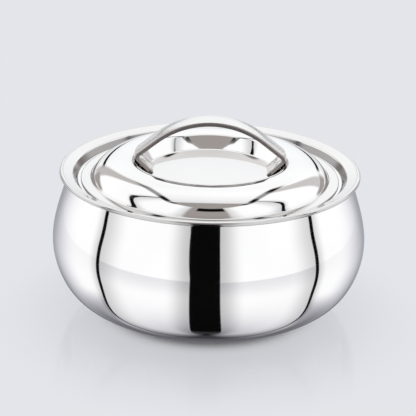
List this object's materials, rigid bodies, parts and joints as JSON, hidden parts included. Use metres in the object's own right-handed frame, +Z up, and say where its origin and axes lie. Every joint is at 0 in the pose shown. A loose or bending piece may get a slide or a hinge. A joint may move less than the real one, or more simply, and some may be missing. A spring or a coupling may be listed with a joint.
{
  "type": "insulated chapati casserole",
  "caption": "Round double-walled steel serving casserole with a belly body, flared rolled rim and a domed lift-off lid with a strap handle over its round recess.",
  "frame": {"origin": "middle of the pot's foot ring, on the surface that the pot stands on", "axes": "+Z up along the axis of the pot and lid; the lid's strap handle spans X and is as wide as it is along Y"},
  "size_m": [0.205, 0.205, 0.13],
  "materials": {
    "polished_steel": "polished",
    "bowl_steel": "polished",
    "handle_steel": "polished",
    "satin_steel": "satin",
    "rivet_steel": "satin",
    "insulation": "matte",
    "plug_plastic": "satin"
  },
  "bodies": {
    "pot": {"outer_shell": "polished_steel", "inner_bowl": "bowl_steel", "body_foam": "insulation", "base_plate": "satin_steel", "fill_plug": "plug_plastic"},
    "lid": {"lid_top_shell": "polished_steel", "lid_liner": "satin_steel", "lid_foam": "insulation", "lid_handle": "handle_steel", "handle_rivets_left": "rivet_steel", "handle_rivets_right": "rivet_steel", "rivet_washers_left": "rivet_steel", "rivet_washers_right": "rivet_steel"}
  },
  "joints": [
    {"name": "lid_lift", "type": "slide", "parent": "pot", "child": "lid", "axis": [0, 0, 1], "range_m": [0, 0.08]}
  ]
}
